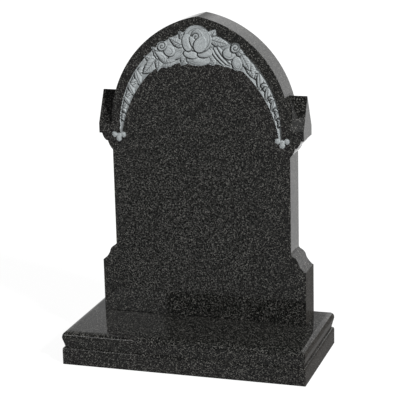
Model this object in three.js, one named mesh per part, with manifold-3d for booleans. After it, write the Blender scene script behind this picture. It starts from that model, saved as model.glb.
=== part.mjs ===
// A carved granite headstone standing on a moulded base.
// Millimetres, +Z up. The origin is the middle of the base's underside, and the front faces -Y.

import * as THREE from "three";
import { mergeVertices } from "three/addons/utils/BufferGeometryUtils.js";
import Module from "manifold-3d";

const wasm = await Module();
wasm.setup();

// Base slab
const BASE_WIDTH = 762;
const BASE_DEPTH = 382;
const BASE_HEIGHT = 104;
const BASE_PLINTH_HEIGHT = 44;       // plain upright face below the moulding
const BASE_PLINTH_ROUND = 10;        // height of the rounding above that face
const BASE_NOTCH_INSET = 7;          // how far the moulding's waist sits behind the face
const BASE_NOTCH_HEIGHT = 57;
const BASE_SPLAY_TOP = 84;           // where the splay is back out at the full size
const BASE_TOP_ROUND = 19;           // radius in from the edge of the flat top

// Headstone
const JOINT_GAP = 0.3;               // bed joint between the two stones
const STONE_THICKNESS = 100;
const STONE_FRONT = 42;              // y of the polished front face
const LOWER_WIDTH = 654;
const SHAFT_WIDTH = 562;
const STEP_BOTTOM = 270;             // moulded step from the lower part in to the shaft
const STEP_TOP = 322;
const STEP_FILLET = 3;               // small square fillet at each end of the moulding
const STEP_BULGE = 4.5;              // how far the moulding's upper half swells out of a straight line
const STEP_HOLLOW = 2;               // and how far its lower half is hollowed behind one
const BRACKET_FOOT = 625;            // where the kneeler's bracket leaves the shaft
const KNEELER_WIDTH = 646;           // over both kneelers
const KNEELER_UNDERSIDE = 676;
const SPRINGING = 706;               // level where the arch begins
const KNEELER_RIDGE = 804;
const BRACKET_STEP = 9;              // flat underside between kneeler and bracket
const BRACKET_LEDGE = 5;             // small ledge between the bracket's two lobes
const BRACKET_LEDGE_LEVEL = 653;
const BRACKET_LEDGE_OUT = 20;        // where that ledge ends, out from the shaft
const BRACKET_BULGE = 2.2;           // how far each lobe swells out of a straight line
const KNEELER_KEY = 40;              // how far its block runs in behind the arch's edge
const ARCH_CENTRE_OFFSET = 59;       // each arc's centre lies this far past the middle line

// Garland, carved into the front face. Heights are measured out from the face, so all are negative.
const CARVING_DEPTH = 9;             // how deep the stone is cleared round the carving
const CARVING_ROOT = 12;             // the carved forms are rooted this far in, in solid stone
const CARVING_WALL_LEAN = 1.5;       // the cut's wall leans out by this much at the face
const CARVING_WALL_FOOT = 0.96;      // and its foot starts just inside the form's own outline
const SMALLEST_DETAIL = 0.05;        // slivers finer than this are merged away
const GROUND_LEVEL = -6.5;           // plain ground between the leaves
const RIM_LEVEL = -3;
const RIM_WIDTH = 3.5;
const BAND_OUTER = { offset: 61, level: 694.5, radius: 315 };
const BAND_INNER = { offset: 97, level: 623.5, radius: 349 };
const BAND_FOOT = 679;               // level where the band ends as a stem on the trefoil
const BAND_FOOT_WIDTH = 6;
const BAND_GROWTH = 38;              // how much wider it is where the wing meets the side bud
const BAND_GROWTH_POWER = 0.8;
const BAND_TOP_ANGLE = 62;           // where the outer arcs pass in under the rose's leaves
const BAND_NECK = { halfWidth: 60, rise: 20 };
const WING_TOP_ANGLE = 37;           // degrees up the outer arc from the springing
const WING_TUFTS = 5;
const WING_FIRST_STEP = 8.8;         // degrees from one tuft to the next, one degree less each time
const WING_BEND = 0.06;
const SIDE_BUD_LEVEL = 880;          // level where the inner edge turns in under the rose
const ROSE_CENTRE = [0, 972];
const TREFOIL = {
  x: 258, z: 671, lobe: 17, spread: 14.5, rise: 3, drop: 10,
  look: { level: -3.4, crown: 1, sides: 10 },
};
const DISC_SHARE = 0.9;              // the disc behind a trefoil's lobes, as a share of a lobe
const ARC_STEPS = 20;
const MOULDING_STEPS = 6;
const FORM_SIDES = 12;
const FORM_INNER_RING = 0.55;
const RIB_HALF_WIDTH = 0.4;
const FACE_CLEARANCE = 1;

const BASE_TOP = BASE_HEIGHT + JOINT_GAP;
const STONE_BACK = STONE_FRONT + STONE_THICKNESS;
const STONE_MIDDLE = STONE_FRONT + STONE_THICKNESS / 2;
const HALF_SHAFT = SHAFT_WIDTH / 2;
const HALF_LOWER = LOWER_WIDTH / 2;
const HALF_KNEELERS = KNEELER_WIDTH / 2;
const ARCH_RADIUS = HALF_SHAFT + ARCH_CENTRE_OFFSET;

// Forms of the garland: at is the middle (x, z), turn the direction of the tip in degrees from +X, and size
// the length and width. The rose's own petals are placed from its centre, the lowest first.
const ROSE_PETALS = [
  { at: [1, -62], turn: 0, size: [76, 34], level: -5.2, crown: 1.8 },
  { at: [-23, -46], turn: -10, size: [46, 26], level: -4.6, crown: 2.2 },
  { at: [20, -42], turn: 12, size: [46, 26], level: -4.6, crown: 2.2 },
  { at: [0, 3], turn: 0, size: [84, 80], level: -3.4, crown: -1.2, sides: 24 },
  { at: [-33, -11], turn: 96, size: [52, 32], level: -3.4, crown: 1.8 },
  { at: [24, -4], turn: 82, size: [66, 42], level: -3, crown: 1.6, sides: 16 },
  { at: [-3, 8], turn: 0, size: [34, 32], level: -2.6, crown: -0.8 },
  { at: [-4, 5], turn: 0, size: [22, 22], level: -2, crown: -0.6 },
  { at: [-2, 8], turn: 0, size: [12, 12], level: -1.4, crown: 0.4, sides: 8 },
  { at: [3, -14], turn: 95, size: [48, 40], level: -2.2, crown: 1.9, sides: 16 },
];
const ROSE_LEAVES = [
  { at: [-43, 908], turn: 238, size: [36, 30], tip: 0.45, level: -5.6, crown: 1.8 },
  { at: [43, 910], turn: -55, size: [38, 28], tip: 0.45, level: -5.6, crown: 1.8 },
  { at: [-48, 982], turn: 112, size: [36, 24], tip: 0.4, level: -5, crown: 1.8, rib: 0.8 },
  { at: [-66, 963], turn: 152, size: [54, 28], tip: 0.35, bend: -3, level: -5.4, crown: 2.4, rib: 0.8 },
  { at: [46, 985], turn: 55, size: [44, 34], tip: 0.4, level: -5, crown: 1.8, rib: 0.8 },
  { at: [68, 966], turn: -12, size: [56, 34], tip: 0.35, bend: 2, level: -4.6, crown: 2.2, rib: 0.8 },
];
const LEFT_GROUP = [
  { at: [-66, 924], turn: 210, size: [70, 26], tip: 0.3, root: 0.2, level: -5.6, crown: 2, rib: 1 },
  { at: [-100, 897], turn: 195, size: [60, 26], tip: 0.3, level: -5.6, crown: 2.2, rib: 0.8 },
  { at: [-147, 903], turn: 140, size: [54, 30], tip: 0.4, bend: 3, level: -5, crown: 2.4, rib: 0.8 },
  { at: [-155, 884], turn: 228, size: [60, 34], tip: 0.4, bend: -3, level: -4.4, crown: 2.6, rib: 0.8 },
  { at: [-124, 893], turn: 262, size: [42, 26], tip: 0.45, level: -4, crown: 2.2, rib: 0.8 },
  { at: [-131, 930], turn: 120, size: [44, 26], tip: 0.4, bend: 3, level: -4.6, crown: 2, rib: 0.6 },
  { at: [-118, 918], turn: 135, size: [50, 20], tip: 0.4, bend: 3, level: -4, crown: 2, rib: 0.6 },
];
const RIGHT_GROUP = [
  { at: [61, 920], turn: -50, size: [74, 13], tip: 0.2, bend: 2, level: -5, crown: 2.4 },
  { at: [72, 922], turn: -50, size: [74, 13], tip: 0.2, bend: 2, level: -4.6, crown: 2.4 },
  { at: [84, 925], turn: -50, size: [74, 13], tip: 0.2, bend: 2, level: -5, crown: 2.4 },
  { at: [133, 933], turn: -40, size: [46, 26], tip: 0.4, level: -5.2, crown: 2.4, rib: 0.8 },
  { at: [163, 884], turn: -70, size: [54, 32], tip: 0.4, level: -5.6, crown: 2.6, rib: 0.8 },
  { at: [149, 905], turn: -62, size: [54, 30], tip: 0.4, level: -5, crown: 2.6, rib: 0.8 },
  { at: [121, 902], turn: 100, size: [42, 32], level: -4.4, crown: 3, rib: 0 },
];
const SIDE_BUDS = [
  { ball: [-90, 935], heart: [-112, 949] },
  { ball: [95, 930], heart: [116, 949] },
];
const SIDE_BALL = { size: 36, level: -4.6, crown: 3.2 };
const SIDE_HEART = { size: 32, level: -4, crown: -0.6, rings: 3, shrink: 0.32, shift: 1.5, rise: 0.8 };

// A tuft of a wing: small lobes and a blade across them. Their places are shares of the tuft's angle and of
// the band's width, and their sizes shares of that width. lean is the tip's turn from the arc's own direction.
const WING_LOBES = {
  count: 3, first: 0.12, gap: 0.27, across: 0.36, lean: -58, size: [0.84, 0.46],
  look: { tip: 0.4, level: -5.6, crown: 2.4, sides: 8 },
};
const WING_BLADE = {
  down: 0.62, across: 0.52, lean: -122, size: [1.24, 0.52],
  look: { tip: 0.35, root: 0.2, level: -4.4, crown: 2.6, rib: 0.8 },
};

const GRANITE = new THREE.MeshStandardMaterial({ color: 0x3a3a38, roughness: 0.12, metalness: 0 });

// Turns a closed three.js geometry into a solid that can be joined and cut.
function solid(geometry) {
  const bare = geometry.index ? geometry.toNonIndexed() : geometry.clone();
  bare.deleteAttribute("normal");
  bare.deleteAttribute("uv");
  const merged = mergeVertices(bare, 1e-4);
  return new wasm.Manifold(new wasm.Mesh({
    numProp: 3,
    vertProperties: new Float32Array(merged.attributes.position.array),
    triVerts: new Uint32Array(merged.index.array),
  }));
}

function meshOf(shape, name, material) {
  const result = shape.getMesh();
  const geometry = new THREE.BufferGeometry();
  geometry.setAttribute("position", new THREE.BufferAttribute(new Float32Array(result.vertProperties), 3));
  geometry.setIndex(new THREE.BufferAttribute(new Uint32Array(result.triVerts), 1));
  geometry.computeVertexNormals();
  const mesh = new THREE.Mesh(geometry, material);
  mesh.name = name;
  return mesh;
}

// Extrudes a front-view shape (x across, z up) from y = front to y = back.
function extrudeFrontView(shape, front, back, curveSegments) {
  const geometry = new THREE.ExtrudeGeometry(shape, {
    depth: back - front,
    bevelEnabled: false,
    curveSegments,
  });
  geometry.rotateX(Math.PI / 2);
  geometry.translate(0, back, 0);
  return solid(geometry);
}

// Extrudes a side-view shape (y across, z up) from x = left to x = right.
function extrudeSideView(shape, left, right, curveSegments) {
  const geometry = new THREE.ExtrudeGeometry(shape, {
    depth: right - left,
    bevelEnabled: false,
    curveSegments,
  });
  geometry.rotateX(Math.PI / 2);
  geometry.rotateZ(Math.PI / 2);
  geometry.translate(left, 0, 0);
  return solid(geometry);
}

// The base's section: the same moulding on both ends of a slab of the given half size.
function baseSection(halfSize) {
  const shape = new THREE.Shape();
  const waist = halfSize - BASE_NOTCH_INSET;
  const shoulder = BASE_PLINTH_HEIGHT + BASE_PLINTH_ROUND;
  const flat = halfSize - BASE_TOP_ROUND;
  shape.moveTo(-halfSize, 0);
  shape.lineTo(halfSize, 0);
  shape.lineTo(halfSize, BASE_PLINTH_HEIGHT);
  shape.quadraticCurveTo(halfSize, shoulder, waist, shoulder);
  shape.lineTo(waist, BASE_NOTCH_HEIGHT);
  shape.lineTo(halfSize, BASE_SPLAY_TOP);
  shape.quadraticCurveTo(halfSize, BASE_HEIGHT, flat, BASE_HEIGHT);
  shape.lineTo(-flat, BASE_HEIGHT);
  shape.quadraticCurveTo(-halfSize, BASE_HEIGHT, -halfSize, BASE_SPLAY_TOP);
  shape.lineTo(-waist, BASE_NOTCH_HEIGHT);
  shape.lineTo(-waist, shoulder);
  shape.quadraticCurveTo(-halfSize, shoulder, -halfSize, BASE_PLINTH_HEIGHT);
  shape.closePath();
  return shape;
}

// The moulding returns round all four sides with mitred corners.
function baseStone() {
  const along = extrudeSideView(baseSection(BASE_DEPTH / 2), -BASE_WIDTH / 2, BASE_WIDTH / 2, MOULDING_STEPS);
  const across = extrudeFrontView(baseSection(BASE_WIDTH / 2), -BASE_DEPTH / 2, BASE_DEPTH / 2, MOULDING_STEPS);
  return along.intersect(across);
}

// Draws a shallow curve to a point, swelling by the given amount to the right of a straight line.
function swell(shape, x, z, amount) {
  const from = shape.currentPoint;
  const length = Math.hypot(x - from.x, z - from.y);
  const aside = { x: ((z - from.y) / length) * amount * 2, z: ((from.x - x) / length) * amount * 2 };
  shape.quadraticCurveTo((from.x + x) / 2 + aside.x, (from.y + z) / 2 + aside.z, x, z);
}

// The tablet's outline: lower part, moulded step, shaft and pointed arch.
function tabletOutline() {
  const shape = new THREE.Shape();
  const apexAngle = Math.acos(ARCH_CENTRE_OFFSET / ARCH_RADIUS);
  const lip = HALF_LOWER - STEP_FILLET;
  const neck = HALF_SHAFT + STEP_FILLET;
  const middle = (lip + neck) / 2;
  const middleLevel = (STEP_BOTTOM + STEP_TOP) / 2;
  const neckLevel = STEP_TOP - STEP_FILLET;
  shape.moveTo(-HALF_LOWER, BASE_TOP);
  shape.lineTo(HALF_LOWER, BASE_TOP);
  shape.lineTo(HALF_LOWER, STEP_BOTTOM);
  shape.lineTo(lip, STEP_BOTTOM);
  swell(shape, middle, middleLevel, -STEP_HOLLOW);
  swell(shape, neck, neckLevel, STEP_BULGE);
  shape.lineTo(neck, STEP_TOP);
  shape.lineTo(HALF_SHAFT, STEP_TOP);
  shape.lineTo(HALF_SHAFT, SPRINGING);
  shape.absarc(-ARCH_CENTRE_OFFSET, SPRINGING, ARCH_RADIUS, 0, apexAngle, false);
  shape.absarc(ARCH_CENTRE_OFFSET, SPRINGING, ARCH_RADIUS, Math.PI - apexAngle, Math.PI, false);
  shape.lineTo(-HALF_SHAFT, STEP_TOP);
  shape.lineTo(-neck, STEP_TOP);
  shape.lineTo(-neck, neckLevel);
  swell(shape, -middle, middleLevel, STEP_BULGE);
  swell(shape, -lip, STEP_BOTTOM, -STEP_HOLLOW);
  shape.lineTo(-HALF_LOWER, STEP_BOTTOM);
  shape.closePath();
  return shape;
}

// The right-hand kneeler in front view, bracket lobes below and square block above.
function kneelerOutline() {
  const shape = new THREE.Shape();
  const inside = HALF_SHAFT - KNEELER_KEY;
  const ledge = HALF_SHAFT + BRACKET_LEDGE_OUT;
  shape.moveTo(inside, BRACKET_FOOT);
  shape.lineTo(HALF_SHAFT, BRACKET_FOOT);
  swell(shape, ledge - BRACKET_LEDGE, BRACKET_LEDGE_LEVEL, BRACKET_BULGE);
  shape.lineTo(ledge, BRACKET_LEDGE_LEVEL);
  swell(shape, HALF_KNEELERS - BRACKET_STEP, KNEELER_UNDERSIDE, BRACKET_BULGE);
  shape.lineTo(HALF_KNEELERS, KNEELER_UNDERSIDE);
  shape.lineTo(HALF_KNEELERS, KNEELER_RIDGE);
  shape.lineTo(inside, KNEELER_RIDGE);
  shape.closePath();
  return shape;
}

// The kneelers' roof: above the springing both faces slope back to a ridge in mid thickness.
function kneelerRoof() {
  const shape = new THREE.Shape();
  shape.moveTo(STONE_FRONT, STEP_TOP);
  shape.lineTo(STONE_BACK, STEP_TOP);
  shape.lineTo(STONE_BACK, SPRINGING);
  shape.lineTo(STONE_MIDDLE, KNEELER_RIDGE);
  shape.lineTo(STONE_FRONT, SPRINGING);
  shape.closePath();
  return extrudeSideView(shape, -BASE_WIDTH / 2, BASE_WIDTH / 2, 1);
}

// A carved form is a unit disc bent to the outline of a leaf or petal. u runs along it from -1 at its root
// to 1 at its tip, and w across it. tip and root sharpen those ends, and bend curves it sideways.
function placeForm(form, u, w) {
  const { at, turn, size, tip = 0, root = 0, bend = 0 } = form;
  const taper = Math.max(0, 1 - u) ** tip * Math.max(0, 1 + u) ** root;
  const along = (size[0] / 2) * u;
  const across = (size[1] / 2) * w * taper + bend * (u * u - 0.5);
  const angle = THREE.MathUtils.degToRad(turn);
  return {
    x: at[0] + Math.cos(angle) * along - Math.sin(angle) * across,
    z: at[1] + Math.sin(angle) * along + Math.cos(angle) * across,
  };
}

// A closed disc-like solid whose rings are [radius, height] pairs, bent to the form's outline.
function formSolid(form, rings, heightAt) {
  const profile = rings.map(([radius], index) => new THREE.Vector2(radius, index));
  const geometry = new THREE.LatheGeometry(profile, form.sides ?? FORM_SIDES);
  const position = geometry.attributes.position;
  for (let i = 0; i < position.count; i += 1) {
    const u = position.getZ(i);
    const w = position.getX(i);
    const ring = rings[Math.round(position.getY(i))];
    const place = placeForm(form, u, w);
    position.setXYZ(i, place.x, STONE_FRONT - heightAt(ring[1], u, w), place.z);
  }
  return solid(geometry);
}

// The stone left standing inside one form: domed, with an optional rib along its middle.
function raisedForm(form) {
  const { level, crown, rib = 0 } = form;
  const surface = (u, w) => {
    const inside = Math.max(0, 1 - u * u - w * w);
    const ridge = Math.max(0, 1 - Math.abs(w) / RIB_HALF_WIDTH);
    return level + crown * inside + rib * ridge * Math.sqrt(inside);
  };
  const rings = [[0, -CARVING_ROOT], [1, -CARVING_ROOT], [1, null], [FORM_INNER_RING, null], [0, null]];
  return formSolid(form, rings, (height, u, w) => height ?? surface(u, w));
}

// The stone cut away over one form, with a wall that leans out to the polished face.
function cutForm(form) {
  const lean = 1 + (2 * CARVING_WALL_LEAN) / Math.min(...form.size);
  const foot = CARVING_WALL_FOOT;
  const rings = [[0, -CARVING_DEPTH], [foot, -CARVING_DEPTH], [lean, FACE_CLEARANCE], [0, FACE_CLEARANCE]];
  return formSolid(form, rings, (height) => height);
}

// A point of the wing's band: angle in degrees up the outer arc, across from 0 at the outer edge to 1.
function bandPoint(angle, across, sign) {
  const width = BAND_FOOT_WIDTH + BAND_GROWTH * (angle / WING_TOP_ANGLE) ** BAND_GROWTH_POWER;
  const radius = BAND_OUTER.radius - width * across;
  const turn = THREE.MathUtils.degToRad(angle);
  return {
    at: [sign * (radius * Math.cos(turn) - BAND_OUTER.offset), BAND_OUTER.level + radius * Math.sin(turn)],
    width,
  };
}

// One form of a wing, given for the right-hand side and mirrored for the left.
function wingForm(sign, angle, { across, lean, size, look }) {
  const { at, width } = bandPoint(angle, across, sign);
  const turn = sign > 0 ? angle + lean : 180 - angle - lean;
  const bend = -sign * WING_BEND * width;
  return { at, turn, size: [width * size[0], width * size[1]], bend, ...look };
}

// A wing: tufts that shrink towards the springing.
function wingForms(sign) {
  const forms = [];
  let angle = WING_TOP_ANGLE;
  for (let tuft = 0; tuft < WING_TUFTS; tuft += 1) {
    const step = WING_FIRST_STEP - tuft;
    for (let lobe = 0; lobe < WING_LOBES.count; lobe += 1) {
      const down = WING_LOBES.first + WING_LOBES.gap * lobe;
      forms.push(wingForm(sign, angle - step * down, WING_LOBES));
    }
    forms.push(wingForm(sign, angle - step * WING_BLADE.down, WING_BLADE));
    angle -= step;
  }
  return forms;
}

// A side bud: a round ball of petals with a small spiral heart, drawn as rings set to one side in turn.
function budForms({ ball, heart }) {
  const round = (at, size, level, crown) => ({ at, turn: 0, size: [size, size], level, crown });
  const forms = [round(ball, SIDE_BALL.size, SIDE_BALL.level, SIDE_BALL.crown)];
  for (let ring = 0; ring < SIDE_HEART.rings; ring += 1) {
    const size = SIDE_HEART.size * (1 - SIDE_HEART.shrink * ring);
    const shift = SIDE_HEART.shift * ring * (ring % 2 === 0 ? 1 : -1);
    const at = [heart[0] + shift, heart[1] + shift];
    forms.push(round(at, size, SIDE_HEART.level + SIDE_HEART.rise * ring, SIDE_HEART.crown));
  }
  return forms;
}

// Three round lobes that end each wing, with a small disc joining them.
function trefoilForms(sign) {
  const { x, z, lobe, spread, rise, drop, look } = TREFOIL;
  const disc = (dx, dz, size) => ({ at: [sign * x + dx, z + dz], turn: 0, size: [size, size], ...look });
  const middle = disc(0, 0, lobe * DISC_SHARE);
  return [disc(-spread, rise, lobe), disc(spread, rise, lobe), disc(0, -drop, lobe), middle];
}

function garlandForms() {
  const fromRose = (petal) => ({ ...petal, at: [petal.at[0] + ROSE_CENTRE[0], petal.at[1] + ROSE_CENTRE[1]] });
  return [
    ...ROSE_LEAVES, ...LEFT_GROUP, ...RIGHT_GROUP, ...SIDE_BUDS.flatMap(budForms),
    ...ROSE_PETALS.map(fromRose),
    ...[-1, 1].flatMap((sign) => [...wingForms(sign), ...trefoilForms(sign)]),
  ];
}

// Where a circle of the band stands at a level, on the right-hand side.
function arcAngle(circle, level) {
  return Math.asin((level - circle.level) / circle.radius);
}

// Front view of the crescent that carries the leaves: outer arcs above, inner arcs and a plain edge below.
function bandOutline() {
  const shape = new THREE.Shape();
  const outerTop = THREE.MathUtils.degToRad(BAND_TOP_ANGLE);
  const outerFoot = arcAngle(BAND_OUTER, BAND_FOOT);
  const innerFoot = arcAngle(BAND_INNER, BAND_FOOT);
  const innerTop = arcAngle(BAND_INNER, SIDE_BUD_LEVEL);
  const outer = BAND_OUTER;
  const inner = BAND_INNER;
  const neckLevel = SIDE_BUD_LEVEL + BAND_NECK.rise;
  shape.absarc(-outer.offset, outer.level, outer.radius, outerFoot, outerTop, false);
  shape.absarc(outer.offset, outer.level, outer.radius, Math.PI - outerTop, Math.PI - outerFoot, false);
  shape.absarc(inner.offset, inner.level, inner.radius, Math.PI - innerFoot, Math.PI - innerTop, true);
  shape.lineTo(-BAND_NECK.halfWidth, neckLevel);
  shape.lineTo(BAND_NECK.halfWidth, neckLevel);
  shape.absarc(-inner.offset, inner.level, inner.radius, innerTop, innerFoot, true);
  shape.closePath();
  return shape;
}

// A slab of the given outline standing this far out from the face, and rooted this deep behind it.
function faceSlab(shape, height, depth) {
  return extrudeFrontView(shape, STONE_FRONT - height, STONE_FRONT + depth, ARC_STEPS);
}

// The thin rim left along the inner edge of each wing.
function rimSolid(sign) {
  const shape = new THREE.Shape();
  const foot = arcAngle(BAND_INNER, BAND_FOOT + RIM_WIDTH);
  const top = arcAngle(BAND_INNER, SIDE_BUD_LEVEL);
  const { offset, level, radius } = BAND_INNER;
  shape.absarc(-offset, level, radius, foot, top, false);
  shape.absarc(-offset, level, radius + RIM_WIDTH, top, foot, true);
  shape.closePath();
  const rim = faceSlab(shape, RIM_LEVEL, CARVING_ROOT);
  return sign > 0 ? rim : rim.mirror([1, 0, 0]);
}

// Clears the stone over the whole garland, then puts back the ground, the rims and every form.
function carveGarland(stone) {
  const forms = garlandForms();
  const ground = faceSlab(bandOutline(), GROUND_LEVEL, CARVING_ROOT);
  const bandCut = faceSlab(bandOutline(), FACE_CLEARANCE, CARVING_DEPTH);
  const cuts = wasm.Manifold.union([bandCut, ...forms.map(cutForm)]);
  const raised = wasm.Manifold.union([ground, rimSolid(-1), rimSolid(1), ...forms.map(raisedForm)]);
  return stone.subtract(cuts).add(raised).asOriginal().simplify(SMALLEST_DETAIL);
}

function headstone() {
  const tablet = extrudeFrontView(tabletOutline(), STONE_FRONT, STONE_BACK, ARC_STEPS);
  const block = extrudeFrontView(kneelerOutline(), STONE_FRONT, STONE_BACK, MOULDING_STEPS);
  const kneeler = block.intersect(kneelerRoof());
  return carveGarland(tablet.add(kneeler).add(kneeler.mirror([1, 0, 0])));
}

const memorial = new THREE.Group();
memorial.add(meshOf(headstone(), "headstone", GRANITE));
memorial.add(meshOf(baseStone(), "base", GRANITE));

export default memorial;
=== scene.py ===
"""A headstone of polished dark granite with a carved garland, on a moulded base.

Shapes are worked out in millimetres in the frame's own axes (+Z up, the front faces -Y) and turned into
metres when a mesh is made.
"""

import math

import bmesh
import bpy
import numpy as np
from mathutils import Matrix, Vector


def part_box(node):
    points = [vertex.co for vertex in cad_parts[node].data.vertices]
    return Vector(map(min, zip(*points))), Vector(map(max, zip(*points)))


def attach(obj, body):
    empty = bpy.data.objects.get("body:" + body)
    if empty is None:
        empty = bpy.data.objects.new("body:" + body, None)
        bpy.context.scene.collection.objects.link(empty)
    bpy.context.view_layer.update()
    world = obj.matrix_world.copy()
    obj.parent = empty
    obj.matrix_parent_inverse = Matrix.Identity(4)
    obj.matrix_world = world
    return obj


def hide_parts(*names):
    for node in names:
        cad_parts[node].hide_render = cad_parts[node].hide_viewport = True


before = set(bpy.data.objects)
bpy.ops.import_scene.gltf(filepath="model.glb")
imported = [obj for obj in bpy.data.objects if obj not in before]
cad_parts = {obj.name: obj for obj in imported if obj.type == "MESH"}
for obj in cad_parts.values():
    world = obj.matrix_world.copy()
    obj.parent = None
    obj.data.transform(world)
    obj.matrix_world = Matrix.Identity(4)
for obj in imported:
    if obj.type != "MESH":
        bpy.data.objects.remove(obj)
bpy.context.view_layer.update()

MM = 0.001

# Sizes taken from the frame, in millimetres
STONE_LOW, STONE_HIGH = [[value / MM for value in corner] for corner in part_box("headstone")]
BASE_HIGH = [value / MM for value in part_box("base")[1]]
FACE = STONE_LOW[1]
STONE_BACK = STONE_HIGH[1]
STONE_MIDDLE = (FACE + STONE_BACK) / 2
HALF_LOWER = STONE_HIGH[0]
STONE_FOOT = STONE_LOW[2]

# The upright's front view
HALF_SHAFT = 281.0
HALF_KNEELERS = 323.0
STEP_BOTTOM = 270.0
STEP_TOP = 322.0
STEP_FILLET = 3.0
STEP_BULGE = 4.5
STEP_HOLLOW = 2.0
BRACKET_FOOT = 625.0
BRACKET_STEP = 9.0
BRACKET_LEDGE = 5.0
BRACKET_LEDGE_LEVEL = 653.0
BRACKET_LEDGE_OUT = 20.0
BRACKET_BULGE = 2.2
KNEELER_UNDERSIDE = 676.0
KNEELER_RIDGE = 804.0
KNEELER_KEY = 40.0
SPRINGING = 706.0
ARCH_CENTRE_OFFSET = 59.0
ARCH_RADIUS = HALF_SHAFT + ARCH_CENTRE_OFFSET
ARC_STEPS = 64
CURVE_STEPS = 10
EASED_EDGE = 1.2
EASED_SEGMENTS = 2
EASED_ANGLE = 35

# The base's moulding: insets from its outer face, and heights
PLINTH_TOP = 44.0
PLINTH_ROUND = 10.0
NOTCH_INSET = 7.0
NOTCH_TOP = 57.0
SPLAY_TOP = 84.0
TOP_ROUND = 19.0
BASE_CORNER = 2.0
CORNER_STEPS = 2

# Finishes: material slots, the angles in degrees above which an edge stays sharp, and how square an end is
POLISHED_SLOT, CARVED_SLOT, DULL_SLOT = 0, 1, 2
HARD_ANGLE = 18
CARVED_ANGLE = 60
END_NORMAL = 0.7

# The carving's levels, in millimetres out from the face, and how its forms and lines are shaped; the lines'
# darkness is also painted shade in the carved colour
GROUND_LEVEL = -3.2
FLOOR_OF_CUT = -3.0
WALL_SLOPE = 4.0
RIM_LEVEL = -1.5
LEVEL_SHARE = 0.4
SUNK = 0.6
LIP_INSET = 2.4
LIP_WIDTH = 1.4
RIM_WIDTH = 3.5
RIM_LINE = 0.3
RIB_HALF_WIDTH = 0.4
DOME_POWER = 0.7
LINE_WIDTH = 1.9
LINE_DEPTH = 1.3
DIP_WIDTH = 3.0
DIP_DEPTH = 1.3
HIGHEST = -0.3
# Painted shade: an edge line is darker, and cut deeper, on the side facing away from LIT_FROM, the light's
# direction across the face
EDGE_DARKNESS = 0.6
EDGE_SHADE_BIAS = 0.6
LIT_FROM = (0.8, 0.6)
MIDRIB = {"width": 1.1, "darkness": 0.9, "end": 0.8, "fade": 5}
VEIN = {"width": 1.0, "darkness": 0.65, "lean": 0.8, "end": 0.82, "fade": 6}
FOLD = {"width": 1.1, "darkness": 0.75, "inset": 2.5, "heart": 0.25, "fade": 4, "root": 0.6, "wane": 0.9,
        "least": 0.1}
SPIRAL_WIDTH = 1.5
OUTLINE_STEPS = 72
TOOTH_DEPTH = 0.2
TOOTHED_SHARE = 0.9
THINNEST = 0.08

# The grid of heights, and the part of the stone that it carves
GRID = 1.0
CLEAR = 2.0
CARVING = {"left": -292, "right": 292, "bottom": 640, "top": 1032}
CARVING_REACH = 16
WINDOW_MARGIN = 6
FAR_AWAY = 50.0
LINE_INSET = 0.5
LINE_FADE = 2
CARVED_REACH = 0.4
# Painted shade: the carving is painted darker where it lies deeper behind the face
DEPTH_SHADE = {"start": 1.5, "over": 3, "share": 0.3}

BAND_OUTER = {"offset": 61.0, "level": 694.5, "radius": 315.0}
BAND_INNER = {"offset": 97.0, "level": 623.5, "radius": 349.0}
BAND_FOOT = 679.0
BAND_FOOT_WIDTH = 6.0
BAND_GROWTH = 38.0
BAND_GROWTH_POWER = 0.8
BAND_NECK = {"half_width": 60.0, "rise": 20.0}
SIDE_BUD_LEVEL = 880.0
WING_TOP_ANGLE = 37.0
WING_TUFTS = 5
WING_FIRST_STEP = 8.8
WING_BEND = 0.06
TREFOIL = {"x": 258.0, "z": 671.0, "lobe": 17.0, "spread": 14.5, "rise": 3.0, "drop": 10.0}
TREFOIL_LOOK = {"level": -3.4, "crown": 1.0, "edge": 0.25}
DISC_SHARE = 0.9
ROSE_CENTRE = (0.0, 972.0)

# Forms of the garland: at is the middle (x, z), turn the direction of the tip in degrees from +X, and size
# the length and width. lip is a raised edge, folds the spacing of lines that follow the edge, veins the
# spacing of a leaf's side veins, teeth the notches along its edge, and spiral the turns of a bud's heart.
# edge scales the line along a form's outline, which is cut in and painted as shade
ROSE_PETALS = [
    {"at": (1, -62), "turn": 0, "size": (76, 34), "level": -5.2, "crown": 1.8, "lip": 0.5, "folds": 4.6},
    {"at": (-23, -46), "turn": -10, "size": (46, 26), "level": -4.8, "crown": 2.4, "lip": 0.6},
    {"at": (22, -42), "turn": 12, "size": (48, 26), "level": -4.8, "crown": 2.4, "lip": 0.6},
    {"at": (-1, 3), "turn": 0, "size": (86, 80), "level": -3.8, "crown": -1.2, "lip": 0.9, "folds": 11},
    {"at": (-32, -11), "turn": 98, "size": (54, 34), "level": -3.6, "crown": 1.8, "lip": 0.7},
    {"at": (15, -3), "turn": 75, "size": (70, 58), "level": -3.2, "crown": 0.4, "lip": 1.0, "folds": 7},
    {"at": (-1, 3), "turn": 85, "size": (54, 42), "level": -2.9, "crown": 0.2, "lip": 0.9, "folds": 6},
    {"at": (-5, 7), "turn": 60, "size": (32, 25), "level": -2.4, "crown": -0.6, "spiral": 1.7},
    {"at": (-14, -11), "turn": 112, "size": (42, 18), "level": -2.4, "crown": 1.2, "lip": 0.6},
    {"at": (9, -15), "turn": 62, "tip": 0.2, "size": (54, 40), "level": -2.0, "crown": 1.6, "lip": 0.9},
]
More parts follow.
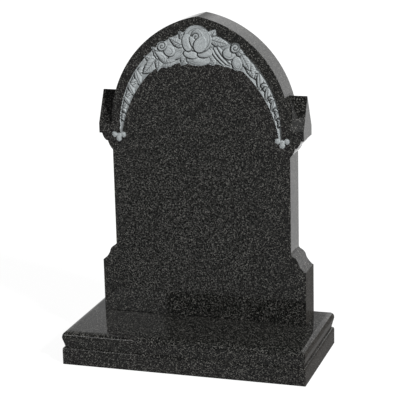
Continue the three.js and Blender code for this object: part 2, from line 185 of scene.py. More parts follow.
ROSE_LEAVES = [
    {"at": (-43, 908), "turn": 238, "size": (36, 30), "tip": 0.45, "level": -5.6, "crown": 1.8, "veins": 7},
    {"at": (43, 910), "turn": -55, "size": (38, 28), "tip": 0.45, "level": -5.6, "crown": 1.8, "veins": 7},
    {"at": (-48, 982), "turn": 112, "size": (36, 24), "tip": 0.4, "level": -5, "crown": 1.8, "rib": 0.8,
     "veins": 7, "teeth": 3},
    {"at": (-66, 963), "turn": 152, "size": (54, 28), "tip": 0.35, "bend": -3, "level": -5.4, "crown": 2.4,
     "rib": 0.8, "veins": 8, "teeth": 4},
    {"at": (46, 985), "turn": 55, "size": (44, 34), "tip": 0.4, "level": -5, "crown": 1.8, "rib": 0.8,
     "veins": 8, "teeth": 3},
    {"at": (68, 966), "turn": -12, "size": (56, 34), "tip": 0.35, "bend": 2, "level": -4.6, "crown": 2.2,
     "rib": 0.8, "veins": 9, "teeth": 4},
]
LEFT_GROUP = [
    {"at": (-66, 924), "turn": 210, "size": (70, 26), "tip": 0.3, "root": 0.2, "level": -5.6, "crown": 2,
     "rib": 1, "folds": 5},
    {"at": (-100, 897), "turn": 195, "size": (60, 26), "tip": 0.3, "level": -5.6, "crown": 2.2, "rib": 0.8,
     "veins": 8, "teeth": 4},
    {"at": (-147, 903), "turn": 140, "size": (54, 30), "tip": 0.4, "bend": 3, "level": -5, "crown": 2.4,
     "rib": 0.8, "veins": 8, "teeth": 4},
    {"at": (-155, 884), "turn": 228, "size": (60, 34), "tip": 0.4, "bend": -3, "level": -4.4, "crown": 2.6,
     "rib": 0.8, "veins": 9, "teeth": 4},
    {"at": (-124, 893), "turn": 262, "size": (42, 26), "tip": 0.45, "level": -4, "crown": 2.2, "rib": 0.8,
     "veins": 8, "teeth": 3},
    {"at": (-131, 930), "turn": 120, "size": (44, 26), "tip": 0.4, "bend": 3, "level": -4.6, "crown": 2,
     "rib": 0.6, "veins": 8, "teeth": 3},
    {"at": (-118, 918), "turn": 135, "size": (50, 20), "tip": 0.4, "bend": 3, "level": -4, "crown": 2,
     "rib": 0.6, "folds": 5},
]
RIGHT_GROUP = [
    {"at": (61, 920), "turn": -50, "size": (74, 13), "tip": 0.2, "bend": 2, "level": -5, "crown": 2.4},
    {"at": (72, 922), "turn": -50, "size": (74, 13), "tip": 0.2, "bend": 2, "level": -4.6, "crown": 2.4},
    {"at": (84, 925), "turn": -50, "size": (74, 13), "tip": 0.2, "bend": 2, "level": -5, "crown": 2.4},
    {"at": (133, 933), "turn": -40, "size": (46, 26), "tip": 0.4, "level": -5.2, "crown": 2.4, "rib": 0.8,
     "veins": 8, "teeth": 3},
    {"at": (163, 884), "turn": -70, "size": (54, 32), "tip": 0.4, "level": -5.6, "crown": 2.6, "rib": 0.8,
     "veins": 8, "teeth": 4},
    {"at": (149, 905), "turn": -62, "size": (54, 30), "tip": 0.4, "level": -5, "crown": 2.6, "rib": 0.8,
     "veins": 8, "teeth": 4},
    {"at": (121, 902), "turn": 100, "size": (42, 32), "level": -4.4, "crown": 3, "lip": 0.5, "folds": 6},
]
SIDE_BUDS = [
    {"ball": (-90, 935), "heart": (-112, 949)},
    {"ball": (95, 930), "heart": (116, 949)},
]
SIDE_BALL = {"size": (38, 34), "level": -4.6, "crown": 2.8, "lip": 0.6, "folds": 8}
SIDE_HEART = {"size": (35, 28), "level": -4, "crown": 0.8, "spiral": 1.7}
WING_LOBES = {
    "count": 3, "first": 0.12, "gap": 0.27, "across": 0.34, "lean": -58, "lean_left": -58, "size": (1.0, 0.5),
    "look": {"tip": 0.4, "level": -5.4, "crown": 2.4, "midrib": True, "edge": 1.4, "in_band": True},
}
WING_BLADE = {
    "down": 0.62, "across": 0.54, "lean": -122, "lean_left": -142, "size": (1.5, 0.56),
    "look": {"tip": 0.35, "root": 0.2, "level": -4.4, "crown": 2.4, "midrib": True, "edge": 1.7,
             "in_band": True},
}

# Stone: refractive index of the polished faces and of the duller ends of the base and lower part, the share
# of an even tone over the ends' grain, crystals a metre, and the crystals' colours
POLISH = 1.195
DULL_POLISH = 1.027
DULL_VEIL = 0.65
POLISHED_ROUGHNESS = 0.05
COARSE_SCALE = 430
COARSE_COLOURS = [
    (0.0, (0.0003, 0.0003, 0.0003)),
    (0.5, (0.0018, 0.0018, 0.0017)),
    (0.8, (0.011, 0.011, 0.0102)),
    (1.0, (0.064, 0.0628, 0.0582)),
]
FINE_SCALE = 1000
FINE_COLOURS = [
    (0.0, (0.0003, 0.0003, 0.0003)),
    (0.6, (0.0025, 0.0025, 0.0023)),
    (1.0, (0.045, 0.0441, 0.0412)),
]
FINE_SHARE = 0.12
EVEN_TONE = (0.011, 0.0102, 0.009, 1)
CARVED_SCALE = 800
CARVED_COLOURS = [
    (0.0, (0.1, 0.108, 0.111)),
    (0.5, (0.15, 0.161, 0.164)),
    (1.0, (0.205, 0.219, 0.221)),
]
# Painted shade: the near-black colour of the carving's incised lines and deeper parts
GROOVE_SHADE_COLOUR = (0.004, 0.0043, 0.0043, 1)
CARVED_ROUGHNESS = 0.75
CARVED_SPECULAR = 0.25
TOOLING = {"scale": 900, "detail": 3, "strength": 0.25, "distance": 0.0006}

# Light: the room's grey by how far right and how far back the direction points, the key light, and the soft
# panels that only show as reflections
ROOM_BY_SIDE = [(-0.4, 0.95), (-0.3, 0.75), (-0.22, 0.5), (-0.16, 1.3), (0.0, 1.45), (1.0, 1.45)]
ROOM_BY_DEPTH = [(0.0, 0.3), (0.25, 1.0)]
KEY_DIRECTION = (1.6, -1.0, 1.15)
KEY_STRENGTH = 11
KEY_SIZE = 9
PANELS = {
    "foot_panel": {"place": (-1430, -2900, 1150), "faces": (-300, 42, 140), "size": 520, "power": 12},
    "kneeler_panel": {"place": (-415, -2087, 2702), "faces": (300, 67, 755), "size": 700, "power": 5.5},
}

# Floor
FLOOR_HALF = 60000
FLOOR_COLOUR = (0.06, 0.06, 0.06, 1)
FLOOR_GLOW_COLOUR = (1, 1, 1, 1)
FLOOR_GLOW = 0.93
FLOOR_ROUGHNESS = 0.9
FLOOR_SPECULAR = 0.1

# Camera, fitted to the photograph's frame
CAMERA_TARGET = (10.522, 0.0, 491.586)
CAMERA_DISTANCE = 4599.134
CAMERA_YAW = 17.9256
CAMERA_PITCH = 14.8138
CAMERA_ROLL = -1.4164
SENSOR = 36.0
LENS = 1525.111 / 400 * SENSOR


def object_from(name, vertices, faces):
    """A new object whose vertices are given in millimetres, with its faces pointing out."""
    mesh = bpy.data.meshes.new(name)
    mesh.from_pydata([tuple(value * MM for value in vertex) for vertex in vertices], [], faces)
    shape = bmesh.new()
    shape.from_mesh(mesh)
    bmesh.ops.recalc_face_normals(shape, faces=shape.faces)
    shape.to_mesh(mesh)
    shape.free()
    piece = bpy.data.objects.new(name, mesh)
    bpy.context.scene.collection.objects.link(piece)
    return piece


def bake_modifiers(piece):
    """Replace a piece's mesh with the mesh that its modifiers make."""
    bpy.context.view_layer.update()
    graph = bpy.context.evaluated_depsgraph_get()
    old = piece.data
    mesh = bpy.data.meshes.new_from_object(piece.evaluated_get(graph), depsgraph=graph)
    piece.modifiers.clear()
    piece.data = mesh
    mesh.name = piece.name
    bpy.data.meshes.remove(old)


def combine(piece, other, operation):
    """Join, cut or intersect with another closed object, which is used up."""
    step = piece.modifiers.new("combine", "BOOLEAN")
    step.operation = operation
    step.solver = "MANIFOLD"
    step.object = other
    bake_modifiers(piece)
    mesh = other.data
    bpy.data.objects.remove(other)
    bpy.data.meshes.remove(mesh)


def ease_edges(piece, width):
    """Round a piece's hard edges a little."""
    step = piece.modifiers.new("ease", "BEVEL")
    step.width = width * MM
    step.segments = EASED_SEGMENTS
    step.limit_method = "ANGLE"
    step.angle_limit = math.radians(EASED_ANGLE)
    bake_modifiers(piece)


def shade(piece):
    """Smooth shading, with hard edges kept sharp, and only the hardest ones in the carving."""
    shape = bmesh.new()
    shape.from_mesh(piece.data)
    for face in shape.faces:
        face.smooth = True
    for edge in shape.edges:
        carved = all(face.material_index == CARVED_SLOT for face in edge.link_faces)
        edge.smooth = edge.calc_face_angle(0) < math.radians(CARVED_ANGLE if carved else HARD_ANGLE)
    shape.to_mesh(piece.data)
    shape.free()


def curve(start, control, end, steps=CURVE_STEPS):
    """The points of a quadratic curve after its start."""
    points = []
    for index in range(1, steps + 1):
        t = index / steps
        points.append(tuple((1 - t) ** 2 * a + 2 * t * (1 - t) * b + t * t * c
                            for a, b, c in zip(start, control, end)))
    return points


def swell(start, end, amount):
    """A shallow curve that swells by the amount to the right of a straight line."""
    length = math.dist(start, end)
    aside = ((end[1] - start[1]) / length * amount * 2, (start[0] - end[0]) / length * amount * 2)
    control = ((start[0] + end[0]) / 2 + aside[0], (start[1] + end[1]) / 2 + aside[1])
    return curve(start, control, end)


def mirrored(points):
    """The points of the left-hand side, in the order that closes the outline."""
    return [(-x, z) for x, z in reversed(points)]


def tablet_outline():
    """Lower part, moulded step, shaft and pointed arch, in front view."""
    lip = (HALF_LOWER - STEP_FILLET, STEP_BOTTOM)
    neck = (HALF_SHAFT + STEP_FILLET, STEP_TOP - STEP_FILLET)
    middle = ((lip[0] + neck[0]) / 2, (STEP_BOTTOM + STEP_TOP) / 2)
    right = [(HALF_LOWER, STONE_FOOT), (HALF_LOWER, STEP_BOTTOM), lip]
    right += swell(lip, middle, -STEP_HOLLOW) + swell(middle, neck, STEP_BULGE)
    right += [(neck[0], STEP_TOP), (HALF_SHAFT, STEP_TOP)]
    apex_angle = math.acos(ARCH_CENTRE_OFFSET / ARCH_RADIUS)
    for index in range(ARC_STEPS):
        angle = apex_angle * index / ARC_STEPS
        right.append((ARCH_RADIUS * math.cos(angle) - ARCH_CENTRE_OFFSET,
                      SPRINGING + ARCH_RADIUS * math.sin(angle)))
    apex = (0.0, SPRINGING + ARCH_RADIUS * math.sin(apex_angle))
    return right + [apex] + mirrored(right)


def kneeler_outline():
    """The right-hand kneeler: bracket lobes below and square block above, in front view."""
    inside = HALF_SHAFT - KNEELER_KEY
    ledge = HALF_SHAFT + BRACKET_LEDGE_OUT
    foot = (HALF_SHAFT, BRACKET_FOOT)
    lobe_end = (ledge - BRACKET_LEDGE, BRACKET_LEDGE_LEVEL)
    ledge_end = (ledge, BRACKET_LEDGE_LEVEL)
    shelf = (HALF_KNEELERS - BRACKET_STEP, KNEELER_UNDERSIDE)
    points = [(inside, BRACKET_FOOT), foot] + swell(foot, lobe_end, BRACKET_BULGE)
    points += [ledge_end] + swell(ledge_end, shelf, BRACKET_BULGE)
    points += [(HALF_KNEELERS, KNEELER_UNDERSIDE), (HALF_KNEELERS, KNEELER_RIDGE), (inside, KNEELER_RIDGE)]
    return points


def prism(name, near, far):
    """A closed prism between two matching loops of points."""
    count = len(near)
    faces = [tuple(range(count)), tuple(range(count, 2 * count))]
    for index in range(count):
        after = (index + 1) % count
        faces.append((index, after, count + after, count + index))
    return object_from(name, near + far, faces)


def front_prism(name, outline, front, back):
    """A prism whose outline is given in front view."""
    return prism(name, [(x, front, z) for x, z in outline], [(x, back, z) for x, z in outline])


def side_prism(name, outline, left, right):
    """A prism whose outline is given in side view."""
    return prism(name, [(left, y, z) for y, z in outline], [(right, y, z) for y, z in outline])


def kneeler(sign):
    """A kneeler whose front and back slope to a ridge above the springing."""
    outline = [(sign * x, z) for x, z in kneeler_outline()]
    block = front_prism("kneeler", outline, FACE, STONE_BACK)
    roof = [(FACE, STEP_TOP), (STONE_BACK, STEP_TOP), (STONE_BACK, SPRINGING),
            (STONE_MIDDLE, KNEELER_RIDGE), (FACE, SPRINGING)]
    combine(block, side_prism("roof", roof, -BASE_HIGH[0], BASE_HIGH[0]), "INTERSECT")
    ease_edges(block, EASED_EDGE)
    return block


class Relief:
    """The carved surface as a grid of heights out from the polished face."""

    def __init__(self, left, right, bottom, top):
        self.left = left
        self.bottom = bottom
        across = np.arange(left, right + GRID / 2, GRID)
        up = np.arange(bottom, top + GRID / 2, GRID)
        self.x, self.z = np.meshgrid(across, up)
        self.height = np.full(self.x.shape, FLOOR_OF_CUT)
        self.line = np.zeros(self.x.shape)
        self.dip = np.zeros(self.x.shape)
        self.band = np.zeros(self.x.shape)
        self.distance = np.full(self.x.shape, FAR_AWAY)

    def window(self, at, reach):
        """The part of the grid within reach of a point."""
        rows, columns = self.x.shape
        first_column = max(0, int((at[0] - reach - self.left) / GRID))
        last_column = min(columns, int((at[0] + reach - self.left) / GRID) + 2)
        first_row = max(0, int((at[1] - reach - self.bottom) / GRID))
        last_row = min(rows, int((at[1] + reach - self.bottom) / GRID) + 2)
        return slice(first_row, last_row), slice(first_column, last_column)

    def lay(self, where, distance, height, line, edge=EDGE_DARKNESS):
        """Lay a surface over what is there, inside distance 0, with a line along its edge that is cut in and
        painted as shade, and a dip.
        """
        cover = np.clip(0.5 - distance / GRID, 0, 1)
        ring = np.minimum(edge, 1) * np.exp(-(distance / LINE_WIDTH) ** 4)
        dip = edge * np.exp(-(distance / DIP_WIDTH) ** 2)
        self.height[where] += (height - self.height[where]) * cover
        self.line[where] = np.maximum(self.line[where] * (1 - cover), np.maximum(ring, line * cover))
        self.dip[where] = np.maximum(self.dip[where] * (1 - cover), dip)
        self.distance[where] = np.minimum(self.distance[where], distance)

    def surface(self):
        """The finished heights: lines cut in, and walls up to the face round the whole carving."""
        inside = -self.distance
        keep = np.clip((inside - LINE_INSET) / LINE_FADE, 0, 1)
        self.line *= keep
        carved = np.minimum(self.height, HIGHEST) - LINE_DEPTH * self.line - DIP_DEPTH * self.dip
        wall = FLOOR_OF_CUT + WALL_SLOPE * self.distance
        blend = np.clip(0.5 + self.distance / GRID, 0, 1)
        return np.minimum(carved + (np.maximum(wall, FLOOR_OF_CUT) - carved) * blend, CLEAR)

    def sample(self, grid, x, z):
        """A grid's values at points between its corners."""
        rows, columns = self.x.shape
        u = np.clip((x - self.left) / GRID, 0, columns - 1.001)
        v = np.clip((z - self.bottom) / GRID, 0, rows - 1.001)
        i, j = u.astype(int), v.astype(int)
        s, t = u - i, v - j
        low = grid[j, i] * (1 - s) + grid[j, i + 1] * s
        high = grid[j + 1, i] * (1 - s) + grid[j + 1, i + 1] * s
        return low * (1 - t) + high * t


def form_outline(form):
    """The form's edge as a loop of points along and across its own axis."""
    length, width = form["size"]
    turn = np.linspace(0, 2 * math.pi, OUTLINE_STEPS, endpoint=False)
    u, w = np.cos(turn), np.sin(turn)
    taper = np.clip(1 - u, 0, 2) ** form.get("tip", 0) * np.clip(1 + u, 0, 2) ** form.get("root", 0)
    if "teeth" in form:
        taper = taper * (1 - TOOTH_DEPTH * ((u + 1) * form["teeth"] / 2 % 1) * (np.abs(u) < TOOTHED_SHARE))
    return length / 2 * u, width / 2 * w * taper + form.get("bend", 0) * (u * u - 0.5)


def loop_distance(px, py, x, y):
    """Signed distance from a closed loop of points, negative inside it."""
    shape = px.shape
    px, py = px.reshape(-1, 1), py.reshape(-1, 1)
    x2, y2 = np.roll(x, -1), np.roll(y, -1)
    ex, ey = x2 - x, y2 - y
    length = np.maximum(ex * ex + ey * ey, 1e-9)
    t = np.clip(((px - x) * ex + (py - y) * ey) / length, 0, 1)
    away = np.sqrt(((px - x - t * ex) ** 2 + (py - y - t * ey) ** 2).min(axis=1))
    spans = (y > py) != (y2 > py)
    crossing = x + (py - y) * ex / np.where(np.abs(ey) < 1e-9, 1e-9, ey)
    inside = (np.sum(spans & (px < crossing), axis=1) % 2) == 1
    return np.where(inside, -away, away).reshape(shape)


def lay_form(relief, form):
    """Carve one leaf, petal, stem or bud over what is there."""
    at, (length, width), bend = form["at"], form["size"], form.get("bend", 0)
    where = relief.window(at, max(length, width) / 2 + abs(bend) + WINDOW_MARGIN)
    dx, dz = relief.x[where] - at[0], relief.z[where] - at[1]
    turn = math.radians(form["turn"])
    along = math.cos(turn) * dx + math.sin(turn) * dz
    across = math.cos(turn) * dz - math.sin(turn) * dx
    distance = loop_distance(along, across, *form_outline(form))
    if form.get("in_band"):
        distance = np.maximum(distance, relief.band[where])
    u = along / (length / 2)
    taper = np.clip(1 - u, 0, 3) ** form.get("tip", 0) * np.clip(1 + u, 0, 3) ** form.get("root", 0)
    across = across - bend * (u * u - 0.5)
    w = across / (width / 2 * np.maximum(taper, THINNEST))
    rho = np.hypot(u, w)
    inside = np.clip(1 - rho * rho, 0, 1)
    rib = np.clip(1 - np.abs(w) / RIB_HALF_WIDTH, 0, 1) * np.sqrt(inside)
    dome = form["crown"] * inside ** DOME_POWER
    height = LEVEL_SHARE * form["level"] - SUNK + dome + form.get("rib", 0) * rib
    height = height + form.get("lip", 0) * np.exp(-((distance + LIP_INSET) / LIP_WIDTH) ** 2)
    line = form_lines(form, u, w, rho, across, distance, length, width, dx, dz)
    # Painted shade: the edge line is darker, and cut deeper, on the side of the form facing away from the
    # light
    slant = (LIT_FROM[0] * dx + LIT_FROM[1] * dz) / np.maximum(np.hypot(dx, dz), 1)
    relief.lay(where, distance, height, line, form.get("edge", 1.0) * (EDGE_DARKNESS - EDGE_SHADE_BIAS * slant))


def groove(offset, spacing, width):
    """Lines a spacing apart, along a coordinate in millimetres."""
    nearest = (offset / spacing + 0.5) % 1 - 0.5
    return np.exp(-(nearest * spacing / width) ** 2)


def form_lines(form, u, w, rho, across, distance, length, width, dx, dz):
    """The incised lines inside one form, cut in and painted as shade."""
    line = np.zeros_like(u)
    if "veins" in form or form.get("midrib"):
        fade = np.clip((MIDRIB["end"] - u) * MIDRIB["fade"], 0, 1)
        line = np.maximum(line, MIDRIB["darkness"] * np.exp(-(across / MIDRIB["width"]) ** 2) * fade)
    if "veins" in form:
        slanted = u * length / 2 - VEIN["lean"] * np.abs(across)
        fade = np.clip((VEIN["end"] - rho) * VEIN["fade"], 0, 1)
        side = groove(slanted, form["veins"], VEIN["width"]) * fade
        line = np.maximum(line, VEIN["darkness"] * side)
    if "folds" in form:
        fade = np.clip((-distance - FOLD["inset"]) / 2, 0, 1)
        fade = fade * np.clip((rho - FOLD["heart"]) * FOLD["fade"], 0, 1)
        side = np.clip(FOLD["root"] - FOLD["wane"] * u, FOLD["least"], 1)
        folds = groove(distance, form["folds"], FOLD["width"])
        line = np.maximum(line, FOLD["darkness"] * folds * fade * side)
    if "spiral" in form:
        turns = rho * form["spiral"] - np.arctan2(dz, dx) / (2 * math.pi)
        spacing = min(length, width) / 2 / form["spiral"]
        line = np.maximum(line, groove(turns * spacing, spacing, SPIRAL_WIDTH))
    return line


def lay_band(relief):
    """The ground of the crescent, and the thin rim along its inner edge."""
    def arch(circle):
        both = [np.hypot(relief.x - sign * circle["offset"], relief.z - circle["level"]) for sign in (-1, 1)]
        return np.maximum(*both) - circle["radius"]

    inner = arch(BAND_INNER)
    corner = BAND_INNER["radius"] ** 2 - (SIDE_BUD_LEVEL - BAND_INNER["level"]) ** 2
    neck_outside = math.sqrt(corner) - BAND_INNER["offset"]
    share = (neck_outside - np.abs(relief.x)) / (neck_outside - BAND_NECK["half_width"])
    neck_level = SIDE_BUD_LEVEL + BAND_NECK["rise"] * np.clip(share, 0, 1)
    opening = np.maximum(inner, relief.z - neck_level)
    band = np.maximum(np.maximum(arch(BAND_OUTER), -opening), BAND_FOOT - relief.z)
    everywhere = (slice(None), slice(None))
    still = np.zeros_like(band)
    relief.lay(everywhere, band, still + GROUND_LEVEL, still)
    rim = np.maximum(np.maximum(inner - RIM_WIDTH, -inner), relief.z - SIDE_BUD_LEVEL)
    relief.lay(everywhere, np.maximum(rim, BAND_FOOT - relief.z), still + RIM_LEVEL, still)
    relief.line *= RIM_LINE
    relief.dip *= RIM_LINE
    relief.band = band


def wing_form(sign, angle, recipe):
    """One form of a wing, given for the right-hand side and mirrored for the left."""
    width = BAND_FOOT_WIDTH + BAND_GROWTH * (angle / WING_TOP_ANGLE) ** BAND_GROWTH_POWER
    radius = BAND_OUTER["radius"] - width * recipe["across"]
    turn = math.radians(angle)
    at = (sign * (radius * math.cos(turn) - BAND_OUTER["offset"]),
          BAND_OUTER["level"] + radius * math.sin(turn))
    tip = angle + recipe["lean"] if sign > 0 else 180 - angle - recipe["lean_left"]
    size = (width * recipe["size"][0], width * recipe["size"][1])
    return {"at": at, "turn": tip, "size": size, "bend": -sign * WING_BEND * width, **recipe["look"]}


def wing_forms(sign):
    """The leafy tufts of one wing, from the side bud down."""
    forms = []
    angle = WING_TOP_ANGLE
    for tuft in range(WING_TUFTS):
        step = WING_FIRST_STEP - tuft
        for lobe in range(WING_LOBES["count"]):
            down = WING_LOBES["first"] + WING_LOBES["gap"] * lobe
            forms.append(wing_form(sign, angle - step * down, WING_LOBES))
        forms.append(wing_form(sign, angle - step * WING_BLADE["down"], WING_BLADE))
        angle -= step
    return forms


def trefoil_forms(sign):
    """The trefoil at the foot of one wing."""
    x, z, lobe = sign * TREFOIL["x"], TREFOIL["z"], TREFOIL["lobe"]
    spread, rise, drop = TREFOIL["spread"], TREFOIL["rise"], TREFOIL["drop"]
    places = [(0, 0, lobe * DISC_SHARE), (-spread, rise, lobe), (spread, rise, lobe), (0, -drop, lobe)]
    return [{"at": (x + dx, z + dz), "turn": 0, "size": (size, size), **TREFOIL_LOOK}
            for dx, dz, size in places]


def garland_forms():
    """Every form of the garland, the lowest first."""
    forms = wing_forms(-1) + wing_forms(1) + ROSE_LEAVES + LEFT_GROUP + RIGHT_GROUP
    for bud in SIDE_BUDS:
        forms.append({"at": bud["ball"], "turn": 150, **SIDE_BALL})
        forms.append({"at": bud["heart"], "turn": 40, **SIDE_HEART})
    for petal in ROSE_PETALS:
        at = (petal["at"][0] + ROSE_CENTRE[0], petal["at"][1] + ROSE_CENTRE[1])
        forms.append({**petal, "at": at})
    return forms + trefoil_forms(-1) + trefoil_forms(1)


def carved_relief():
    """The whole garland as a relief."""
    relief = Relief(**CARVING)
    lay_band(relief)
    for form in garland_forms():
        lay_form(relief, form)
    return relief


def cutter(relief):
    """The stone that is cut away: closed, between the carved surface and a plane before the face."""
    height = relief.surface()
    rows, columns = height.shape
    carved = np.stack([relief.x, FACE - height, relief.z], axis=-1).reshape(-1, 3)
    index = np.arange(rows * columns).reshape(rows, columns)
    quads = np.stack([index[:-1, :-1], index[:-1, 1:], index[1:, 1:], index[1:, :-1]], axis=-1).reshape(-1, 4)
    border = np.concatenate([index[0, :-1], index[:-1, -1], index[-1, :0:-1], index[:0:-1, 0]])
    plane = carved[border].copy()
    plane[:, 1] = FACE - CLEAR - 2
    start = rows * columns
    faces = [tuple(int(corner) for corner in quad) for quad in quads]
    count = len(border)
    for place in range(count):
        after = (place + 1) % count
        faces.append((int(border[place]), int(border[after]), start + after, start + place))
    faces.append(tuple(range(start, start + count)))
    return object_from("cutter", np.concatenate([carved, plane]).tolist(), faces)


def in_carving(x, y, z, shallowest):
    """Whether each point lies in the carved part of the front, at least a little way in from the face."""
    wide = np.abs(x) < CARVING["right"] - GRID
    return (y > FACE + shallowest) & (y < FACE + CARVING_REACH) & wide & (z > CARVING["bottom"] + GRID)


def mark_shade(piece, relief):
    """Store each point's painted shade, from the incised lines and from depth, for the material, and give the
    carving its own finish.
    """
    mesh = piece.data
    count = len(mesh.vertices)
    place = np.empty(count * 3)
    mesh.vertices.foreach_get("co", place)
    x, y, z = (place.reshape(-1, 3) / MM).T
    line = relief.sample(relief.line, x, z)
    depth = np.clip((y - FACE - DEPTH_SHADE["start"]) / DEPTH_SHADE["over"], 0, 1)
    # Painted shade: the darker of the line's shade and the depth's shade, only inside the carving
    shade_value = np.where(in_carving(x, y, z, 0.05), np.maximum(line, DEPTH_SHADE["share"] * depth), 0)
    layer = mesh.attributes.new("groove", "FLOAT", "POINT")
    layer.data.foreach_set("value", shade_value.astype(np.float32))
    centre = np.empty(len(mesh.polygons) * 3)
    mesh.polygons.foreach_get("center", centre)
    cx, cy, cz = (centre.reshape(-1, 3) / MM).T
    distance = relief.sample(relief.distance, cx, cz)
    carved = in_carving(cx, cy, cz, 0.02) & (distance < CARVED_REACH)
    slots = np.where(carved, CARVED_SLOT, POLISHED_SLOT).astype(np.int32)
    mesh.polygons.foreach_set("material_index", slots)


def finish(piece, stones):
    """Give a piece the three finishes of the stone: polished, carved and dull."""
    piece.data.materials.clear()
    for stone in stones:
        piece.data.materials.append(stone)


def mark_ends(piece):
    """Give the upright ends of the base and of the lower part the duller polish."""
    for face in piece.data.polygons:
        if abs(face.normal.x) > END_NORMAL and face.center.z < STEP_BOTTOM * MM:
            face.material_index = DULL_SLOT


def headstone(stones):
    """The upright, cut from one slab: arch, kneelers, shaft, step and garland."""
    stone = front_prism("carved_headstone", tablet_outline(), FACE, STONE_BACK)
    ease_edges(stone, EASED_EDGE)
    for sign in (-1, 1):
        combine(stone, kneeler(sign), "UNION")
    relief = carved_relief()
    combine(stone, cutter(relief), "DIFFERENCE")
    finish(stone, stones)
    mark_shade(stone, relief)
    mark_ends(stone)
    shade(stone)
    return stone


def base_profile():
    """The moulding from the bottom up, as insets from the outer face and heights."""
    shoulder = PLINTH_TOP + PLINTH_ROUND
    top = BASE_HIGH[2]
    points = [(0.0, 0.0), (0.0, PLINTH_TOP)]
    points += curve((0.0, PLINTH_TOP), (0.0, shoulder), (NOTCH_INSET, shoulder))
    points += [(NOTCH_INSET, NOTCH_TOP), (0.0, SPLAY_TOP)]
    points += curve((0.0, SPLAY_TOP), (0.0, top), (TOP_ROUND, top))
    return points


def base_ring(inset, level):
    """A rectangle round the base at one level, with eased corners."""
    ring = []
    for corner, (side, end) in enumerate([(1, 1), (-1, 1), (-1, -1), (1, -1)]):
        centre_x = side * (BASE_HIGH[0] - inset - BASE_CORNER)
        centre_y = end * (BASE_HIGH[1] - inset - BASE_CORNER)
        for step in range(CORNER_STEPS + 1):
            angle = math.radians(90 * (corner + step / CORNER_STEPS))
            ring.append((centre_x + BASE_CORNER * math.cos(angle), centre_y + BASE_CORNER * math.sin(angle),
                         level))
    return ring


def base(stones):
    """The slab under the headstone, with its moulding mitred round all four sides."""
    rings = [base_ring(inset, level) for inset, level in base_profile()]
    count = len(rings[0])
    vertices = [point for ring in rings for point in ring]
    faces = [tuple(range(count)), tuple(range(count * (len(rings) - 1), count * len(rings)))]
    for level in range(len(rings) - 1):
        for place in range(count):
            after = (place + 1) % count
            low = level * count
            faces.append((low + place, low + after, low + count + after, low + count + place))
    piece = object_from("moulded_base", vertices, faces)
    finish(piece, stones)
    mark_ends(piece)
    shade(piece)
    return piece


def new_material(name):
    """A material with its nodes and links."""
    material = bpy.data.materials.new(name)
    material.use_nodes = True
    return material, material.node_tree.nodes, material.node_tree.links


def ramp(nodes, links, value, stops):
    """A colour that follows a value between 0 and 1 through the stops."""
    node = nodes.new("ShaderNodeValToRGB")
    while len(node.color_ramp.elements) < len(stops):
        node.color_ramp.elements.new(0.5)
    for element, (position, colour) in zip(node.color_ramp.elements, stops):
        element.position = position
        element.color = (*colour, 1)
    links.new(value, node.inputs["Fac"])
    return node.outputs["Color"]


def crystals(nodes, links, scale, stops):
    """Grains of stone: each cell of a Voronoi pattern takes its own colour from a ramp."""
    place = nodes.new("ShaderNodeTexCoord")
    cells = nodes.new("ShaderNodeTexVoronoi")
    cells.inputs["Scale"].default_value = scale
    links.new(place.outputs["Object"], cells.inputs["Vector"])
    split = nodes.new("ShaderNodeSeparateColor")
    links.new(cells.outputs["Color"], split.inputs["Color"])
    return ramp(nodes, links, split.outputs["Red"], stops)


def mix(nodes, links, kind, share, first, second):
    """Mix two colours, each of them a fixed value or another node's socket."""
    node = nodes.new("ShaderNodeMix")
    node.data_type = "RGBA"
    node.blend_type = kind
    for name, value in (("Factor", share), ("A", first), ("B", second)):
        socket = next(item for item in node.inputs if item.name == name and item.enabled)
        if isinstance(value, bpy.types.NodeSocket):
            links.new(value, socket)
        else:
            socket.default_value = value
    return next(item for item in node.outputs if item.enabled)


def granite(name, polish, veil):
    """Dark grey granite: black, grey and a few pale grains, with a share of an even tone over them."""
    material, nodes, links = new_material(name)
    shader = nodes["Principled BSDF"]
    coarse = crystals(nodes, links, COARSE_SCALE, COARSE_COLOURS)
    fine = crystals(nodes, links, FINE_SCALE, FINE_COLOURS)
    grains = mix(nodes, links, "MIX", FINE_SHARE, coarse, fine)
    links.new(mix(nodes, links, "MIX", veil, grains, EVEN_TONE), shader.inputs["Base Color"])
    shader.inputs["Roughness"].default_value = POLISHED_ROUGHNESS
    shader.inputs["IOR"].default_value = polish
    return material


def blasted_granite():
    """The same stone where it is carved: matt and pale, with painted shade in the incised lines and the
    deeper parts.
    """
    material, nodes, links = new_material("carved_granite")
    shader = nodes["Principled BSDF"]
    grains = crystals(nodes, links, CARVED_SCALE, CARVED_COLOURS)
    mark = nodes.new("ShaderNodeAttribute")
    mark.attribute_name = "groove"
    # Painted shade: the groove attribute mixes in the near-black shade colour
    colour = mix(nodes, links, "MIX", mark.outputs["Fac"], grains, GROOVE_SHADE_COLOUR)
    links.new(colour, shader.inputs["Base Color"])
    shader.inputs["Roughness"].default_value = CARVED_ROUGHNESS
    shader.inputs["Specular IOR Level"].default_value = CARVED_SPECULAR
    place = nodes.new("ShaderNodeTexCoord")
    noise = nodes.new("ShaderNodeTexNoise")
    noise.inputs["Scale"].default_value = TOOLING["scale"]
    noise.inputs["Detail"].default_value = TOOLING["detail"]
    links.new(place.outputs["Object"], noise.inputs["Vector"])
    bump = nodes.new("ShaderNodeBump")
    bump.inputs["Strength"].default_value = TOOLING["strength"]
    bump.inputs["Distance"].default_value = TOOLING["distance"]
    links.new(noise.outputs["Fac"], bump.inputs["Height"])
    links.new(bump.outputs["Normal"], shader.inputs["Normal"])
    return material


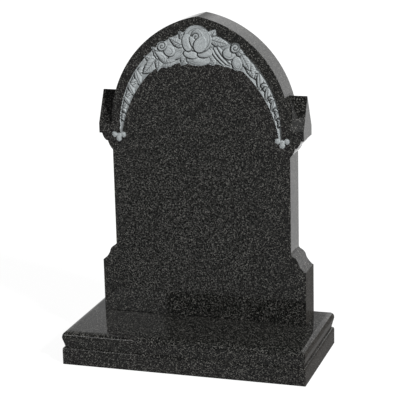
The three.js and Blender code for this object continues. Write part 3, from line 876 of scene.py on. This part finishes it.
def floor():
    """A plain pale floor that gives off some light of its own."""
    corners = [(-1, -1), (1, -1), (1, 1), (-1, 1)]
    plane = object_from("floor", [(x * FLOOR_HALF, y * FLOOR_HALF, 0) for x, y in corners], [(0, 1, 2, 3)])
    material, nodes, _ = new_material("pale_floor")
    shader = nodes["Principled BSDF"]
    shader.inputs["Base Color"].default_value = FLOOR_COLOUR
    shader.inputs["Emission Color"].default_value = FLOOR_GLOW_COLOUR
    shader.inputs["Emission Strength"].default_value = FLOOR_GLOW
    shader.inputs["Roughness"].default_value = FLOOR_ROUGHNESS
    shader.inputs["Specular IOR Level"].default_value = FLOOR_SPECULAR
    plane.data.materials.append(material)


def brightness(nodes, links, value, stops):
    """A grey that follows a value between -1 and 1 through the stops."""
    scaled = nodes.new("ShaderNodeMapRange")
    scaled.inputs["From Min"].default_value = -1
    links.new(value, scaled.inputs["Value"])
    greys = [((position + 1) / 2, (grey, grey, grey)) for position, grey in stops]
    return ramp(nodes, links, scaled.outputs["Result"], greys)


def reflected_panel(name, place, faces, size, power):
    """A soft panel that only shows as a reflection in the polish."""
    data = bpy.data.lights.new(name, "AREA")
    data.size = size * MM
    data.energy = power
    panel = bpy.data.objects.new(name, data)
    panel.location = Vector(place) * MM
    panel.rotation_euler = (Vector(place) - Vector(faces)).to_track_quat("Z", "Y").to_euler()
    panel.visible_diffuse = False
    panel.visible_camera = False
    bpy.context.scene.collection.objects.link(panel)


def studio():
    """A soft key light that reflections leave out, in a room pale behind the stone and dim before it."""
    world = bpy.data.worlds.new("studio")
    world.use_nodes = True
    nodes, links = world.node_tree.nodes, world.node_tree.links
    place = nodes.new("ShaderNodeTexCoord")
    split = nodes.new("ShaderNodeSeparateXYZ")
    links.new(place.outputs["Generated"], split.inputs["Vector"])
    side = brightness(nodes, links, split.outputs["X"], ROOM_BY_SIDE)
    depth = brightness(nodes, links, split.outputs["Y"], ROOM_BY_DEPTH)
    links.new(mix(nodes, links, "MULTIPLY", 1.0, side, depth), nodes["Background"].inputs["Color"])
    bpy.context.scene.world = world
    data = bpy.data.lights.new("key", "SUN")
    data.energy = KEY_STRENGTH
    data.angle = math.radians(KEY_SIZE)
    key = bpy.data.objects.new("key", data)
    key.rotation_euler = Vector(KEY_DIRECTION).to_track_quat("Z", "Y").to_euler()
    key.visible_glossy = False
    bpy.context.scene.collection.objects.link(key)
    for name, panel in PANELS.items():
        reflected_panel(name, **panel)
    bpy.context.scene.view_settings.view_transform = "Standard"


def camera():
    """The camera, at the photograph's viewing angle."""
    yaw, pitch, roll = (math.radians(angle) for angle in (CAMERA_YAW, CAMERA_PITCH, CAMERA_ROLL))
    back = Vector((math.sin(yaw) * math.cos(pitch), -math.cos(yaw) * math.cos(pitch), math.sin(pitch)))
    level_right = Vector((math.cos(yaw), math.sin(yaw), 0))
    level_up = back.cross(level_right)
    right = level_right * math.cos(roll) + level_up * math.sin(roll)
    up = level_up * math.cos(roll) - level_right * math.sin(roll)
    place = (Vector(CAMERA_TARGET) + back * CAMERA_DISTANCE) * MM
    data = bpy.data.cameras.new("camera")
    data.sensor_width = SENSOR
    data.lens = LENS
    view = bpy.data.objects.new("camera", data)
    turn = Matrix((right, up, back)).transposed().to_4x4()
    view.matrix_world = Matrix.Translation(place) @ turn
    bpy.context.scene.collection.objects.link(view)
    bpy.context.scene.camera = view


camera()
studio()
floor()
stones = [granite("polished_granite", POLISH, 0.0), blasted_granite(),
          granite("dull_granite", DULL_POLISH, DULL_VEIL)]
upright = headstone(stones)
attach(upright, "root")
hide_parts("headstone")
slab = base(stones)
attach(slab, "root")
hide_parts("base")
